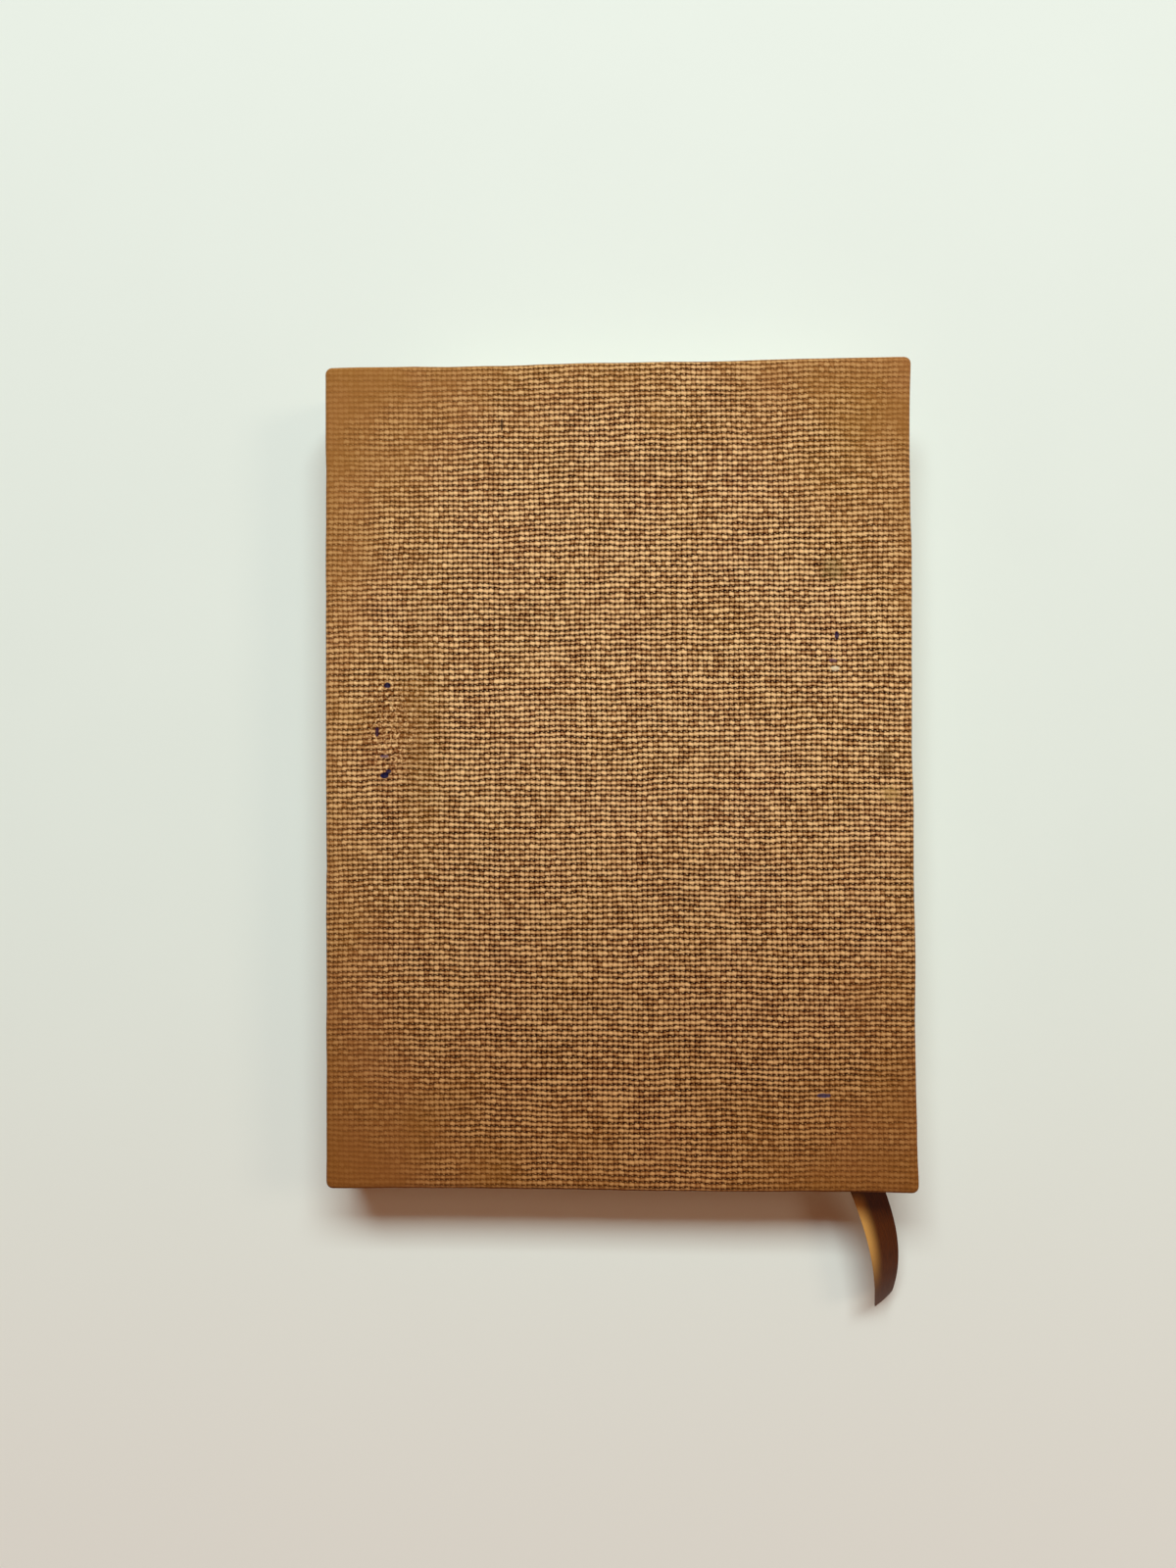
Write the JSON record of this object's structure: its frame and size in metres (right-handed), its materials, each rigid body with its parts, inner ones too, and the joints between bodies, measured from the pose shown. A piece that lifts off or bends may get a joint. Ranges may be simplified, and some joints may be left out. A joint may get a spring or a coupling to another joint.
{
  "type": "pocket journal",
  "caption": "Cloth-covered hardback pocket journal with two hinged covers, a sewn block of leaves and a ribbon marker.",
  "frame": {"origin": "centre of the back cover's outer face, on the surface that the closed journal lies on", "axes": "+X from the spine to the fore-edge, +Y to the head of the page, +Z from the back cover to the front cover"},
  "size_m": [0.105, 0.1729, 0.0168],
  "materials": {
    "linen": "coarse plain-weave book linen, tan brown, matte",
    "satin_ribbon": "dark brown satin",
    "pages": "uncoated cream writing paper",
    "endpaper": "smooth cream endpaper",
    "greyboard": "rough grey bookbinding board",
    "lining_paper": "brown kraft paper",
    "gauze": "starched open-weave gauze",
    "band_cloth": "woven cotton band",
    "thread": "waxed linen thread"
  },
  "bodies": {
    "book_block": {"text_block": "pages", "sewing_thread": "thread", "spine_gauze": "gauze", "spine_lining": "lining_paper", "headband": "band_cloth", "tailband": "band_cloth", "ribbon_marker": "satin_ribbon", "front_flyleaf": "endpaper", "back_flyleaf": "endpaper", "spine_board": "greyboard", "spine_cloth": "linen"},
    "front_cover": {"front_board": "greyboard", "front_cloth": "linen", "front_pastedown": "endpaper"},
    "back_cover": {"back_board": "greyboard", "back_cloth": "linen", "back_pastedown": "endpaper"}
  },
  "joints": [
    {"name": "front_cover_hinge", "type": "hinge", "parent": "book_block", "child": "front_cover", "pos_m": [-0.0525, 0, 0.01381], "axis": [0, -1, 0], "range_deg": [0, 180]},
    {"name": "back_cover_hinge", "type": "hinge", "parent": "book_block", "child": "back_cover", "pos_m": [-0.0525, 0, 0.00295], "axis": [0, 1, 0], "range_deg": [0, 180]}
  ]
}
